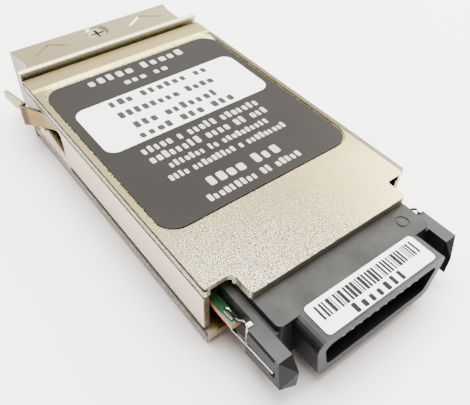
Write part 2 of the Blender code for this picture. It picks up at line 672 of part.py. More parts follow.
def connector_body():
    plate = rounded([(-PLATE_HALF_WIDTH, BLOCK_REAR, 0), (PLATE_HALF_WIDTH, BLOCK_REAR, 0),
                     (PLATE_HALF_WIDTH, PLATE_END, 0.7), (-PLATE_HALF_WIDTH, PLATE_END, 0.7)])
    body = prism("connector_body", [plate], BLOCK_BOTTOM, PLATE_TOP, "Z", BLACK_PLASTIC)
    outer = shroud_outline(9.95, 8.8, SHROUD_BOTTOM, PLATE_TOP, 1.3, 1.2)
    inner = shroud_outline(8.75, 7.7, CAVITY_BOTTOM, CAVITY_TOP, 0.9, 0.8)
    join(body, prism("shroud", [outer], SHROUD_FRONT, PLATE_END + 0.8, "Y"))
    for side in (-1, 1):
        root = sorted((side * (PLATE_HALF_WIDTH - 0.4), side * ARM_ROOT_OUTER))
        base = sorted((side * (PLATE_HALF_WIDTH - 0.4), side * (ARM_OUTER - 0.3)))
        join(body,
             box(f"arm_root_{side}", root, (ARM_STEP - 0.3, BLOCK_REAR), (ARM_ROOT_BOTTOM, ARM_TOP)),
             box(f"arm_base_{side}", base, (PLATE_END + 0.1, ARM_STEP), (ARM_ROOT_BOTTOM, ARM_TOP)),
             guide_arm(side))
        groove = sorted((side * (ARM_OUTER - 0.4), side * (ARM_OUTER + 1)))
        cut(body,
            prism(f"strip_groove_{side}", [STRIP_GROOVE], *groove, "X"),
            box(f"edge_groove_{side}", groove, (-30.4, ARM_STEP + 1), (EDGE_GROOVE_LOW, EDGE_GROOVE_HIGH)))
    cut(body,
        prism("mating_cavity", [inner], SHROUD_FRONT - 1, CAVITY_REAR, "Y"),
        contact_slots())
    mark = (9.2, -26.3, PLATE_TOP)
    ring = cylinder("ejector_mark", mark, 0.9, 0.2, segments=24)
    cut(ring, cylinder("ejector_mark_centre", mark, 0.6, 1.0, segments=24))
    cut(body, ring)
    return body


def contact(row, number):
    """A leaf that bows into the cavity, runs through the block and lands on the board's pad."""
    name = f"contact_{'upper' if row > 0 else 'lower'}_{number:02d}"
    x = (number - 1 - (CONTACTS_PER_ROW - 1) / 2) * CONTACT_PITCH
    foot = BOARD_TOP + 0.15 - CONTACT_MID_Z
    bow = UPPER_BOW if row > 0 else LOWER_BOW
    leaf = [*bow, (CAVITY_REAR - 0.8, CONTACT_ROOT), (BLOCK_REAR + 0.55, CONTACT_ROOT),
            (BLOCK_REAR + 0.85, foot), (BLOCK_REAR + 2.3, foot)]
    path = [(y, CONTACT_MID_Z + row * rise) for y, rise in leaf]
    half = CONTACT_WIDTH / 2
    return prism(name, [strip(path, CONTACT_THICKNESS)], x - half, x + half, "X", BRASS)


def ground_strip(side):
    """A sprung strip along the arm's outer face, with a riser to a short bar across the arm's root."""
    name = "ground_strip_" + ("left" if side < 0 else "right")

    def across(inner, outer):
        return sorted((side * inner, side * outer))
    body = prism(name, [STRIP_SHAPE], *across(ARM_OUTER - 0.3, ARM_OUTER + 0.02), "X", STEEL)
    join(body,
         box(name + "_foot", across(13.1, ARM_OUTER), (-26.02, -25.72), (4.98, 5.2)),
         box(name + "_riser", across(13.1, 13.38), (-26.02, -25.72), (5.0, 8.44)),
         box(name + "_bar", across(12.9, 13.5), (-26.22, -25.72), (8.24, 8.44)))
    return body


def ground_wire(side):
    """A hairpin of wire from the strip's bar, lying on the board's ear."""
    name = "ground_wire_" + ("left" if side < 0 else "right")
    path = [(13.2, -25.5, 8.2), (13.15, -25.1, 7.95), (13.12, -24.6, 7.35), (13.1, -24.1, 6.85),
            (13.06, -23.5, 6.6), (12.98, -22.8, 6.53), (12.98, -22.4, 6.53), (13.1, -22.15, 6.53),
            (13.3, -22.1, 6.53), (13.46, -22.3, 6.53), (13.5, -22.8, 6.53), (13.42, -23.6, 6.53)]
    return wire(name, [(side * u, y, z) for u, y, z in path], 0.16, STEEL)


# Labels -------------------------------------------------------------------------------------------

def product_label():
    outline = rounded_box((-14.3, 14.3), (-12.85, 19.5), 2.5)
    floor = TOP - RECESS_DEPTH
    return prism("product_label", [outline], floor + 0.05, floor + 0.2, "Z", LABEL_GREY)


def barcode_label():
    outline = rounded_box((-8.2, 8.2), (-32.05, -28.15), 0.5)
    return prism("barcode_label", [outline], PLATE_TOP + 0.03, PLATE_TOP + 0.11, "Z", LABEL_WHITE)


# Squeeze latches ----------------------------------------------------------------------------------

def latch(side):
    """A bent sheet, trimmed to its outline from the side, with an eye round the pin."""
    name = "latch_" + ("left" if side < 0 else "right")
    outline = strip(LATCH_PATH, LATCH_SHEET)
    if side < 0:
        outline = mirrored(outline)
    pivot = (side * PIVOT_U, PIVOT_Y, 0)
    body = prism(name, [outline], 4.4, 8.3, "Z", SPRING_STEEL, origin=pivot)
    middle = (side * PIVOT_U, PIVOT_Y, (EYE_LOW + EYE_HIGH) / 2)
    limits = sorted((side * 12.0, side * 19.0))
    combine(body, "INTERSECT", [prism(name + "_outline_shape", [rounded(LATCH_OUTLINE, 5)], *limits, "X")])
    join(body, cylinder(name + "_eye", middle, EYE_RADIUS, EYE_HIGH - EYE_LOW, segments=24))
    cut(body, cylinder(name + "_bore", middle, EYE_BORE, EYE_HIGH - EYE_LOW + 1, segments=24))
    return body


def latch_pin(side):
    name = "latch_pin_" + ("left" if side < 0 else "right")
    return cylinder(name, (side * PIVOT_U, PIVOT_Y, 6.52), PIN_RADIUS, 4.4, "Z", STEEL, segments=20)


# The module ---------------------------------------------------------------------------------------

def build():
    top_cover()
    bottom_cover()
    chassis()
    bezel_screw()
    sc_receptacle()
    optics("transmitter_optics", -1, 2.7)
    optics("receiver_optics", 1, 2.55)
    optics_clamp()
    circuit_board()
    board_components()
    connector_body()
    product_label()
    barcode_label()
    for number in range(1, CONTACTS_PER_ROW + 1):
        contact(1, number)
        contact(-1, number)
    for side in (-1, 1):
        sc_clip(side)
        ferrule_sleeve(side)
        ground_strip(side)
        ground_wire(side)
        latch(side)
        latch_pin(side)
    for obj in PARTS.objects:
        if obj.type == "MESH":
            shade(obj)


build()
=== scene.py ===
"""The looks of the optical transceiver module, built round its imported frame.

Lengths are in millimetres here, and `MM` turns them into metres. +Y points out of the optical ports.
"""
import random
from math import cos, radians, sin

import bmesh
import bpy
from mathutils import Matrix, Vector


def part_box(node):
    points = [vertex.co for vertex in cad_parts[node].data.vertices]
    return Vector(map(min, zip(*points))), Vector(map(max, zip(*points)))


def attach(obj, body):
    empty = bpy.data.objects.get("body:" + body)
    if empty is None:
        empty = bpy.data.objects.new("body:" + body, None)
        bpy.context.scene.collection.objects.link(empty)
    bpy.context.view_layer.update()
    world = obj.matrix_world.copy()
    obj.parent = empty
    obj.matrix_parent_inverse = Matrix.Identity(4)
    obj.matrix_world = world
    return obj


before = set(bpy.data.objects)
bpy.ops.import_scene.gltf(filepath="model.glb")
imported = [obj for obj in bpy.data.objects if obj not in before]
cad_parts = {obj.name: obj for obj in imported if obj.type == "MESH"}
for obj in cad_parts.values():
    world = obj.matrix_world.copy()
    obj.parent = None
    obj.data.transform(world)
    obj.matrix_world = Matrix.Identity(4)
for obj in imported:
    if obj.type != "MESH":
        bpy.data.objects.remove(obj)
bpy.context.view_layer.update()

MM = 0.001
BODY = "module"


# Places on the module -----------------------------------------------------------------------------

def corners(node):
    """The lowest and the highest corner of a piece's box."""
    return [[place / MM for place in corner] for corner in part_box(node)]


cover_low, cover_high = corners("top_cover")
chassis_low, chassis_high = corners("chassis")

CASE_SIDE = cover_high[0]
COVER_TOP = cover_high[2]
COVER_EDGE = cover_low[2]
CHASSIS_END = chassis_low[1]
RIDGE_TOP = chassis_high[2]
CONNECTOR_END = corners("connector_body")[0][1]

# These lie inside the boxes of the pieces, so they are listed.
RECESS_SIDE = 14.6
RECESS_FRONT = 21.0
RECESS_SLOPE = (20.2, 20.8)
# Painted shade lies in this band of the cover's folded lip.
FOLD_SHADE = (9.85, 10.38)
CASE_STEP = -20.0
FLANGE_REAR = 22.0
RIDGE_FOOT = 10.4
WALL_TOP = 8.6
WALL_BOTTOM = 3.04
WINDOW_END = 11.0
PAN_SIDE = 14.2
PAN_FLOOR = 1.6
# Painted shade lies in this band along the lower cover's upper edge.
BASE_EDGE_SHADE = (1.65, 2.25)
ARROW_FLOOR = 10.36
ARROW_RIM = 10.50
ARROW_REAR = 28.6
ARROW_TIP = -8.2
ARM_INNER = 11.8
ARM_TIP = -31.0
SHELF_TOP = 8.1


# Camera and light ---------------------------------------------------------------------------------

CAMERA_PLACE = (-33.51, -47.95, 56.71)
CAMERA_AZIMUTH = -39.11
CAMERA_ELEVATION = 45.97
CAMERA_ROLL = 2.15
CAMERA_LENS = 42.59
CAMERA_FILM = 36

TENT_BRIGHT_SIDE = (0.40, 0.62, 0.67)
TENT_COLOR = (1.0, 0.98, 0.95, 1)
TENT_FADE = (-0.3, 0.8)
FLOOR_REACH = 1500


def camera():
    azimuth, elevation, roll = radians(CAMERA_AZIMUTH), radians(CAMERA_ELEVATION), radians(CAMERA_ROLL)
    back = Vector((sin(azimuth) * cos(elevation), -cos(azimuth) * cos(elevation), sin(elevation)))
    right = Vector((cos(azimuth), sin(azimuth), 0))
    up = back.cross(right)
    turned_right = right * cos(roll) + up * sin(roll)
    turned_up = up * cos(roll) - right * sin(roll)
    data = bpy.data.cameras.new("camera")
    data.lens = CAMERA_LENS
    data.sensor_width = CAMERA_FILM
    data.clip_start = 0.001
    data.clip_end = 5
    obj = bpy.data.objects.new("camera", data)
    bpy.context.collection.objects.link(obj)
    turn = Matrix((turned_right, turned_up, back)).transposed().to_4x4()
    obj.matrix_world = Matrix.Translation(Vector(CAMERA_PLACE) * MM) @ turn
    bpy.context.scene.camera = obj


def softbox(name, place, side, power, color):
    """A square area light that faces the middle of the module's underside."""
    data = bpy.data.lights.new(name, "AREA")
    data.shape = "RECTANGLE"
    data.size = side * MM
    data.size_y = side * MM
    data.energy = power
    data.color = color
    obj = bpy.data.objects.new(name, data)
    bpy.context.collection.objects.link(obj)
    place = Vector(place) * MM
    obj.matrix_world = Matrix.Translation(place) @ place.to_track_quat("Z", "Y").to_matrix().to_4x4()


def tent_light(towards, weakest, strongest):
    """A plain white tent, brightest on the side that lies towards this direction."""
    world = bpy.data.worlds.new("studio")
    bpy.context.scene.world = world
    world.use_nodes = True
    nodes, links = world.node_tree.nodes, world.node_tree.links
    direction = nodes.new("ShaderNodeTexCoord")
    facing = nodes.new("ShaderNodeVectorMath")
    facing.operation = "DOT_PRODUCT"
    facing.inputs[1].default_value = towards
    links.new(direction.outputs["Generated"], facing.inputs[0])
    fade = nodes.new("ShaderNodeMapRange")
    for key, value in zip(("From Min", "From Max", "To Min", "To Max"), (*TENT_FADE, weakest, strongest)):
        fade.inputs[key].default_value = value
    links.new(facing.outputs["Value"], fade.inputs["Value"])
    links.new(fade.outputs["Result"], nodes["Background"].inputs["Strength"])
    nodes["Background"].inputs["Color"].default_value = TENT_COLOR


def studio():
    tent_light(TENT_BRIGHT_SIDE, weakest=0.35, strongest=3.6)
    softbox("overhead", (0, 40, 470), side=300, power=6.5, color=(1.0, 0.99, 0.98))
    softbox("right_window", (400, 40, 240), side=260, power=4.0, color=(1.0, 0.97, 0.93))
    floor = bpy.data.objects.new("floor", grid_mesh("floor", FLOOR_REACH))
    bpy.context.collection.objects.link(floor)
    floor.data.materials.append(floor_paper())


def grid_mesh(name, reach):
    bm = bmesh.new()
    bmesh.ops.create_grid(bm, x_segments=1, y_segments=1, size=reach * MM)
    mesh = bpy.data.meshes.new(name)
    bm.to_mesh(mesh)
    bm.free()
    return mesh


# Node helper --------------------------------------------------------------------------------------

class Nodes:
    """A short way to write a node material.

    A mask is a socket that is nothing where something is left out and one where it is in full. The
    scale of a noise is how many of its grains lie in a metre.
    """

    def __init__(self, name):
        self.material = bpy.data.materials.new(name)
        self.material.use_nodes = True
        self.tree = self.material.node_tree
        self.shader = self.tree.nodes["Principled BSDF"]
        self.place = self.add("ShaderNodeTexCoord").outputs["Object"]

    def add(self, kind, **settings):
        node = self.tree.nodes.new(kind)
        for key, value in settings.items():
            setattr(node, key, value)
        return node

    def fill(self, socket, value):
        """Gives a socket a number or a colour, or links another socket to it."""
        if isinstance(value, tuple):
            socket.default_value = (*value, 1.0)
        elif isinstance(value, (int, float)):
            socket.default_value = value
        else:
            self.tree.links.new(value, socket)

    # Patterns

    def scaled(self, scale):
        """The place in the object, stretched along each axis."""
        node = self.add("ShaderNodeMapping")
        node.inputs["Scale"].default_value = scale
        self.fill(node.inputs["Vector"], self.place)
        return node.outputs["Vector"]

    def noise(self, scale, detail=3.0, rough=0.55, place=None):
        node = self.add("ShaderNodeTexNoise")
        node.inputs["Scale"].default_value = scale
        node.inputs["Detail"].default_value = detail
        node.inputs["Roughness"].default_value = rough
        self.fill(node.inputs["Vector"], place or self.place)
        return node.outputs["Fac"]

    def drawn_out(self, across, along, height=None):
        """Noise in streaks: so many in a metre across the module, along it and up."""
        return self.noise(1.0, 3.0, 0.6, self.scaled((across, along, height or across)))

    def cell_edges(self, scale, place):
        """How far each place is from the edge of its cell."""
        node = self.add("ShaderNodeTexVoronoi", feature="DISTANCE_TO_EDGE")
        node.inputs["Scale"].default_value = scale
        self.fill(node.inputs["Vector"], place)
        return node.outputs["Distance"]

    # Places and directions

    def part(self, axis, vector=None):
        node = self.add("ShaderNodeSeparateXYZ")
        self.fill(node.inputs["Vector"], vector or self.place)
        return node.outputs[axis]

    def normal(self, axis):
        node = self.add("ShaderNodeNewGeometry")
        return self.part(axis, node.outputs["Normal"])

    def unsigned(self, value):
        return self.calc("ABSOLUTE", value, 0.0)

    # Masks

    def span(self, value, low, high, to_low=0.0, to_high=1.0):
        """Runs from to_low where the value is low to to_high where it is high."""
        node = self.add("ShaderNodeMapRange")
        names = ("Value", "From Min", "From Max", "To Min", "To Max")
        for key, given in zip(names, (value, low, high, to_low, to_high)):
            self.fill(node.inputs[key], given)
        return node.outputs["Result"]

    def rise(self, place, start, end, to_low=0.0, to_high=1.0):
        """The same between two places in millimetres."""
        return self.span(place, start * MM, end * MM, to_low, to_high)

    def band(self, place, low, high, soft=0.03):
        """One between two places in millimetres, and nothing outside them."""
        return self.both(self.rise(place, low - soft, low), self.rise(place, high + soft, high))

    def calc(self, operation, first, second):
        node = self.add("ShaderNodeMath", operation=operation)
        for socket, value in zip(node.inputs, (first, second)):
            self.fill(socket, value)
        return node.outputs["Value"]

    def both(self, *masks):
        """The product of masks and shares, which is one only where all of them are."""
        product = masks[0]
        for mask in masks[1:]:
            product = self.calc("MULTIPLY", product, mask)
        return product

    def either(self, first, second):
        return self.calc("MAXIMUM", first, second)

    def mix(self, amount, first, second):
        """Between two colours, each a tuple or a socket."""
        node = self.add("ShaderNodeMix", data_type="RGBA")
        sockets = [socket for socket in node.inputs if socket.enabled]
        for socket, value in zip(sockets, (amount, first, second)):
            self.fill(socket, value)
        return [socket for socket in node.outputs if socket.enabled][0]

    # What the surface gets

    def color(self, value):
        self.fill(self.shader.inputs["Base Color"], value)

    def rough(self, value):
        self.fill(self.shader.inputs["Roughness"], value)

    def gloss(self, value):
        """How strongly a surface that isn't metal mirrors the room. A half is usual."""
        self.shader.inputs["Specular IOR Level"].default_value = value

    def metal(self):
        self.fill(self.shader.inputs["Metallic"], 1.0)

    def bump(self, height, strength, distance):
        node = self.add("ShaderNodeBump")
        node.inputs["Distance"].default_value = distance * MM
        self.fill(node.inputs["Strength"], strength)
        self.fill(node.inputs["Height"], height)
        self.fill(self.shader.inputs["Normal"], node.outputs["Normal"])


# Materials ----------------------------------------------------------------------------------------

def floor_paper():
    """White paper, with a painted contact shadow where the module meets it."""
    n = Nodes("floor_paper")
    paper_white = n.mix(n.noise(6.0, 2.0), (0.95, 0.942, 0.938), (0.97, 0.965, 0.96))
    shaded = (0.40, 0.345, 0.32)
    # Painted shadow: the paper darkens where the ambient occlusion finds the module close by.
    openness = n.add("ShaderNodeAmbientOcclusion", samples=12)
    openness.inputs["Distance"].default_value = 7 * MM
    n.color(n.mix(n.span(openness.outputs["AO"], 0.30, 0.95), shaded, paper_white))
    n.rough(0.9)
    n.gloss(0.1)
    return n.material


def speckled(n, base, amount, dark, light, scale):
    """Adds dark pits and bright points to a colour, and returns it with the pattern of the grain."""
    grain = n.noise(scale, 2.0, 0.7)
    base = n.mix(n.both(n.span(grain, 0.50, 0.42), amount), base, dark)
    return n.mix(n.both(n.span(grain, 0.55, 0.63), amount), base, light), grain


def ragged(n, place, wander):
    """A height whose edges wander a little, as a worn or plated edge does."""
    return n.calc("ADD", place, n.span(n.noise(1500.0, 3.0, 0.65), 0.3, 0.7, -wander * MM, wander * MM))


def metal_with_painted_shade(n, base, painted_shade, shade_color):
    """Bare metal, with a dull dark painted shade over it that takes its shine away."""
    n.color(n.mix(painted_shade, base, shade_color))
    n.fill(n.shader.inputs["Metallic"], n.span(painted_shade, 0.0, 0.85, 1.0, 0.0))
    n.gloss(0.05)


def cover_tone(n, x, y):
    """Straw-coloured plating, darker on the left and lighter on the right as painted light from the right,
    with a painted highlight at one corner of the connector end and greyer at the other.
    """
    left_tone, right_tone = (0.27, 0.218, 0.092), (0.38, 0.31, 0.135)
    highlight_tone, grey = (0.62, 0.51, 0.225), (0.27, 0.238, 0.155)
    cloud = n.span(n.noise(90.0, 3.0), 0.3, 0.7, -0.12, 0.12)
    # Painted light: darker on the left and lighter on the right, as lit from the right.
    base = n.mix(n.calc("ADD", n.rise(x, -12.5, 12.5), cloud), left_tone, right_tone)
    # Painted highlight at the right corner of the connector end.
    highlight_corner = n.both(n.rise(x, 1.0, 12.0), n.rise(y, -8.0, -16.0))
    base = n.mix(n.both(highlight_corner, 0.9), base, highlight_tone)
    grey_corner = n.both(n.rise(x, 4.0, -8.0), n.rise(y, -11.0, -17.0))
    return n.mix(n.both(grey_corner, 0.8), base, grey)


def cover_grain(n, x, y, side_strip, right_strip, lip):
    """How strong the grain is. It grows towards the connector end and its left corner."""
    near = n.both(n.rise(y, -6.0, -22.0, 0.20, 1.25), n.rise(x, 12.0, -10.0, 0.30, 1.2))
    near = n.both(near, n.span(side_strip, 0.0, 1.0, 1.0, 0.5))
    patch = n.span(n.noise(260.0, 3.0, 0.6), 0.2, 0.7, 0.7, 1.15)
    amount = n.either(n.both(near, patch), n.both(lip, 0.9))
    return n.either(amount, n.both(right_strip, 0.35))


def nickel_grain():
    """Cover sheet: a grainy plating, with painted shade in the crease of its folded lip and along the seam
    at its lower edge.
    """
    n = Nodes("nickel_grain")
    x, y, z = n.part("X"), n.part("Y"), n.part("Z")
    out = n.unsigned(x)
    base = cover_tone(n, x, y)

    top_low, top_high = COVER_TOP - 0.20, COVER_TOP - 0.08
    side_strip = n.both(n.rise(out, RECESS_SIDE - 0.10, RECESS_SIDE + 0.02), n.rise(z, top_low, top_high))
    side_strip = n.both(side_strip, n.rise(y, RECESS_FRONT + 0.2, RECESS_FRONT - 0.4))
    right_strip = n.both(side_strip, n.rise(x, -1.0, 1.0))
    base = n.mix(n.both(right_strip, 0.9), base, (0.060, 0.052, 0.030))

    amount = cover_grain(n, x, y, side_strip, right_strip, n.rise(z, top_high, top_low))
    # The faces towards the connector end are painted: cream at the case step as a painted highlight, darker
    # grey at the tongue's end.
    end_face = n.both(n.span(n.normal("Y"), -0.6, -0.85), n.rise(y, CASE_STEP + 0.5, CASE_STEP))
    amount = n.both(amount, n.span(end_face, 0.0, 1.0, 1.0, 0.15))
    case_end_highlight, tongue_end = (0.72, 0.66, 0.45), (0.25, 0.225, 0.170)
    base = n.mix(end_face, base, n.mix(n.rise(y, CASE_STEP - 2.0, CASE_STEP - 4.0), case_end_highlight, tongue_end))
    pit, glint = (0.004, 0.0035, 0.003), (1.0, 0.93, 0.72)
    base, grain = speckled(n, base, amount, pit, glint, 7800.0)

    # Painted highlight, in streaks, on the recess's far slope.
    recess_slope_highlight = n.both(n.band(y, *RECESS_SLOPE, soft=0.2), n.band(z, COVER_TOP - 0.25, COVER_TOP + 0.10))
    streak = n.span(n.noise(700.0, 2.0), 0.25, 0.45, 0.45, 0.95)
    base = n.mix(n.both(recess_slope_highlight, streak), base, (0.80, 0.73, 0.27))

    # Painted shade in the crease of the folded lip and along the seam gap at the lower edge.
    height = ragged(n, z, 0.09)
    fold_shade = n.both(n.band(height, *FOLD_SHADE), n.rise(out, CASE_SIDE - 0.54, CASE_SIDE - 0.39), 0.95)
    seam_shade = n.both(n.rise(height, COVER_EDGE + 0.22, COVER_EDGE + 0.10), 0.95)
    metal_with_painted_shade(n, base, n.either(fold_shade, seam_shade), (0.012, 0.010, 0.008))
    n.rough(n.span(grain, 0.3, 0.7, 0.30, 0.42))
    coarse = n.noise(1700.0, 2.0, 0.5)
    relief = n.calc("ADD", n.both(grain, 0.7), n.both(coarse, 0.25))
    n.bump(relief, n.both(amount, 0.6), 0.04)
    return n.material


def casting_tone(n, x, y, z, wall):
    """Straw-coloured plating, darker to the left and lighter to the right as painted light from the right;
    rosier on the walls as a painted reflection of the floor; with painted shade on the flange's sides and a
    painted highlight on its ridge.
    """
    left_tone, right_tone = (0.235, 0.194, 0.106), (0.35, 0.287, 0.150)
    cloud = n.noise(120.0, 4.0, 0.6)
    # Painted light: darker to the left and lighter to the right, as lit from the right.
    across = n.calc("ADD", n.rise(x, -14.0, 14.0), n.span(cloud, 0.3, 0.7, -0.12, 0.12))
    base = n.mix(across, left_tone, right_tone)
    # Painted reflection: the walls are rosier where they mirror the pinkish floor beside them.
    wall_floor_reflection = n.mix(n.span(cloud, 0.3, 0.7), (0.57, 0.425, 0.325), (0.64, 0.485, 0.375))
    base = n.mix(wall, base, wall_floor_reflection)
    # Painted shade on the flange's side faces.
    facing_side = n.span(n.unsigned(n.normal("X")), 0.6, 0.85)
    flange_side_shade = n.both(facing_side, n.rise(y, FLANGE_REAR - 0.5, FLANGE_REAR))
    base = n.mix(n.both(flange_side_shade, 0.85), base, (0.16, 0.140, 0.112))
    # Painted highlight along the top of the ridge.
    return n.mix(n.rise(z, RIDGE_TOP - 0.20, RIDGE_TOP - 0.08), base, (0.95, 0.88, 0.62))


def arrow_paint(n, base, x, y, z, out):
    """The engraved arrows: one stroke of each catches the light and the other lies in shadow."""
    lit, dark = (0.85, 0.79, 0.55), (0.085, 0.074, 0.050)
    engraved = n.both(n.rise(z, ARROW_RIM, ARROW_RIM - 0.04), n.rise(z, ARROW_FLOOR, ARROW_FLOOR + 0.02))
    beside_screw = n.both(n.rise(out, 4.5, 4.6), n.rise(y, ARROW_REAR, ARROW_REAR + 0.2))
    stroke = n.mix(n.rise(x, ARROW_TIP + 0.05, ARROW_TIP - 0.05), lit, dark)
    return n.mix(n.both(engraved, beside_screw), base, stroke)


def nickel_casting():
    """Chassis: satin plating, with painted shade along its seams, on its ridge's near face and on its end at
    the connector end, and a few random stains.
    """
    n = Nodes("nickel_casting")
    x, y, z = n.part("X"), n.part("Y"), n.part("Z")
    out = n.unsigned(x)
    wall = n.both(n.rise(out, CASE_SIDE - 0.24, CASE_SIDE - 0.09), n.rise(y, FLANGE_REAR, FLANGE_REAR - 0.6))
    base = casting_tone(n, x, y, z, wall)
    base = arrow_paint(n, base, x, y, z, out)

    facing_back = n.span(n.normal("Y"), -0.5, -0.8)
    # Painted shade on the ridge's near face.
    ridge_face_shade = n.both(facing_back, n.rise(z, RIDGE_FOOT - 0.1, RIDGE_FOOT))
    base = n.mix(n.both(ridge_face_shade, 0.9), base, (0.50, 0.47, 0.37))
    fine = n.noise(2600.0, 2.0, 0.5)
    stain = n.span(n.noise(900.0, 4.0, 0.7), 0.64, 0.74)
    base = n.mix(n.both(stain, 0.25), base, (0.16, 0.13, 0.09))
    # Painted shade on the chassis's end face at the connector end.
    cut_end_shade = n.both(facing_back, n.rise(y, CHASSIS_END + 0.1, CHASSIS_END - 0.1))
    base = n.mix(n.both(cut_end_shade, n.span(fine, 0.40, 0.50, 0.95, 0.55)), base, (0.045, 0.034, 0.022))

    # Painted shade along the seam under the cover's lip and the groove above the lower cover.
    height = ragged(n, z, 0.06)
    upper_seam_shade = n.rise(height, WALL_TOP - 0.1, WALL_TOP)
    lower_seam_shade = n.rise(height, WALL_BOTTOM + 0.12, WALL_BOTTOM)
    lower_seam_shade = n.both(lower_seam_shade, n.rise(y, WINDOW_END + 1.0, WINDOW_END))
    painted_shade = n.both(n.either(upper_seam_shade, lower_seam_shade), wall, 0.92)
    metal_with_painted_shade(n, base, painted_shade, (0.014, 0.011, 0.009))
    surface = n.calc("ADD", fine, n.drawn_out(3500.0, 160.0))
    n.rough(n.span(surface, 0.7, 1.3, 0.25, 0.38))
    n.bump(surface, 0.10, 0.02)
    return n.material


def nickel_base():
    """Lower cover: pitted along its cut sides, with painted shade along its upper edge and a yellow
    passivated inside.
    """
    n = Nodes("nickel_base")
    y, z = n.part("Y"), n.part("Z")
    out = n.unsigned(n.part("X"))
    cloud = n.noise(120.0, 4.0, 0.6)
    base = n.mix(n.span(cloud, 0.3, 0.7), (0.50, 0.43, 0.33), (0.58, 0.50, 0.39))
    inside = n.both(n.rise(out, PAN_SIDE + 0.2, PAN_SIDE), n.rise(z, PAN_FLOOR, PAN_FLOOR + 0.1))
    base = n.mix(inside, base, (0.66, 0.45, 0.14))

    side = n.rise(out, CASE_SIDE - 0.19, CASE_SIDE - 0.04)
    streak = n.drawn_out(400.0, 330.0, 1500.0)
    side_tone = n.mix(n.span(streak, 0.40, 0.60), (0.085, 0.072, 0.054), (0.20, 0.172, 0.130))
    amount = n.either(n.both(side, 0.85), 0.2)
    pit, glint = (0.012, 0.010, 0.007), (0.70, 0.62, 0.46)
    base, grain = speckled(n, n.mix(side, base, side_tone), amount, pit, glint, 3500.0)

    # Painted shade in the groove along the upper edge of the sides.
    upper_edge_shade = n.both(n.rise(ragged(n, z, 0.12), *BASE_EDGE_SHADE), n.rise(y, WINDOW_END + 1.2, WINDOW_END))
    metal_with_painted_shade(n, base, n.both(upper_edge_shade, side, 0.93), (0.020, 0.017, 0.013))
    n.rough(n.span(grain, 0.3, 0.7, 0.30, 0.42))
    n.bump(grain, n.both(amount, 0.6), 0.05)
    return n.material


def rolled(n, rough):
    """Bare sheet metal with the faint lines of rolling along it."""
    lines = n.drawn_out(2500.0, 120.0)
    n.rough(n.span(lines, 0.3, 0.7, rough - 0.06, rough + 0.10))
    n.metal()
    n.bump(lines, 0.2, 0.02)


def sheet_steel(name, low, high, rough):
    n = Nodes(name)
    n.color(n.mix(n.span(n.noise(700.0, 3.0, 0.6), 0.35, 0.7), low, high))
    rolled(n, rough)
    return n.material


def latch_steel():
    """Bronze-toned spring sheet, with a painted dark reflection on its crest and painted shade along the
    crest's top edge, and paler on the finger tab.
    """
    n = Nodes("latch_steel")
    y, z = n.part("Y"), n.part("Z")
    crest_start, crest_end, crest_top = 21.3, 23.5, 7.55
    spots = n.span(n.noise(700.0, 3.0, 0.6), 0.35, 0.7)
    tab = n.mix(spots, (0.26, 0.19, 0.112), (0.31, 0.228, 0.137))
    base = n.mix(spots, (0.175, 0.112, 0.042), (0.215, 0.142, 0.056))
    # Painted dark reflection across the crest.
    base = n.mix(n.rise(y, crest_start, crest_start + 0.5), base, (0.075, 0.056, 0.035))
    base = n.mix(n.rise(y, crest_end - 0.6, crest_end), base, tab)
    # Painted shade along the crest's top edge.
    crest_top_shade = n.both(n.rise(z, crest_top, crest_top + 0.15), n.rise(y, crest_end, crest_end - 0.5))
    n.color(n.mix(crest_top_shade, base, (0.12, 0.09, 0.055)))
    rolled(n, 0.32)
    return n.material


def moulded(name, low, high, rough=0.42, grain=0.25):
    n = Nodes(name)
    cloud = n.noise(160.0, 4.0, 0.6)
    texture = n.noise(4200.0, 3.0, 0.6)
    dust = n.span(n.noise(1500.0, 4.0, 0.7), 0.62, 0.8)
    lighter = tuple(min(1.0, channel * 1.4 + 0.01) for channel in high)
    n.color(n.mix(n.both(dust, 0.35), n.mix(n.span(cloud, 0.3, 0.7), low, high), lighter))
    n.rough(n.span(texture, 0.3, 0.7, rough - 0.06, rough + 0.10))
    n.bump(texture, grain, 0.02)
    return n.material


